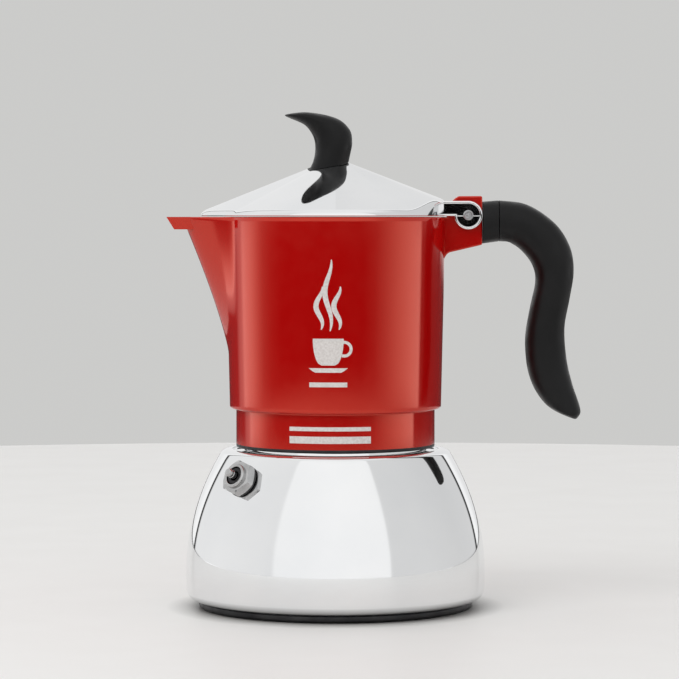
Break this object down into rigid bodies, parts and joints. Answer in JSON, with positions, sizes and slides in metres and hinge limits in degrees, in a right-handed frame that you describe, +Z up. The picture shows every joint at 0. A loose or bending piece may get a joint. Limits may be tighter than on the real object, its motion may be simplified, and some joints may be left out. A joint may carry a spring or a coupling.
{
  "type": "moka pot",
  "caption": "Stovetop moka pot: mirror-steel bell boiler with safety valve, red screw-on collector with spout, hinged metal lid, black curved handle and horn knob.",
  "frame": {"origin": "centre of the base's underside, where it stands", "axes": "+Z up, +X towards the handle, -X towards the spout, -Y the front in the picture"},
  "size_m": [0.1434, 0.104, 0.1714],
  "materials": {
    "polished_steel": "mirror polish",
    "raw_steel": "satin",
    "aluminium": "satin",
    "valve_metal": "bright plated",
    "red_lacquer": "deep gloss lacquer",
    "black_nylon": "satin moulded",
    "silicone": "matt"
  },
  "bodies": {
    "boiler": {"boiler_shell": "polished_steel", "induction_plate": "raw_steel", "heat_spreader": "aluminium", "valve_body": "valve_metal", "valve_washer": "silicone", "valve_nut": "valve_metal", "valve_cap": "valve_metal"},
    "valve_stem": {"valve_stem": "valve_metal", "valve_spring": "raw_steel"},
    "funnel": {"funnel": "aluminium", "basket_plate": "aluminium"},
    "gasket": {"gasket": "silicone"},
    "filter_plate": {"filter_plate": "aluminium"},
    "collector": {"collector": "red_lacquer", "column": "aluminium", "hinge_pin": "raw_steel", "handle_collar": "black_nylon", "handle": "black_nylon", "handle_screw": "raw_steel"},
    "lid": {"lid": "polished_steel", "knob": "black_nylon", "knob_screw": "raw_steel", "knob_washer": "raw_steel"}
  },
  "joints": [
    {"name": "funnel_lift", "type": "slide", "parent": "boiler", "child": "funnel", "axis": [0, 0, 1], "range_m": [0, 0.07]},
    {"name": "collector_lift", "type": "slide", "parent": "funnel", "child": "filter_plate", "axis": [0, 0, 1], "range_m": [0, 0.06]},
    {"name": "thread_rise", "type": "slide", "parent": "filter_plate", "child": "gasket", "axis": [0, 0, 1], "range_m": [0, 0.006]},
    {"name": "collector_turn", "type": "hinge", "parent": "gasket", "child": "collector", "pos_m": [0, 0, 0.0685], "axis": [0, 0, 1], "range_deg": [0, 720]},
    {"name": "lid_hinge", "type": "hinge", "parent": "collector", "child": "lid", "pos_m": [0.0457, 0, 0.1358], "axis": [0, 1, 0], "range_deg": [0, 100]},
    {"name": "valve_pop", "type": "slide", "parent": "boiler", "child": "valve_stem", "axis": [-0.6369, -0.6369, 0.4345], "range_m": [0, 0.0015], "stiffness_N_per_m": 400, "deforming": ["valve_spring"]}
  ],
  "couplings": [
    {"joint": "thread_rise", "follows": "collector_turn", "m_per_rad": 0.00047742}
  ]
}
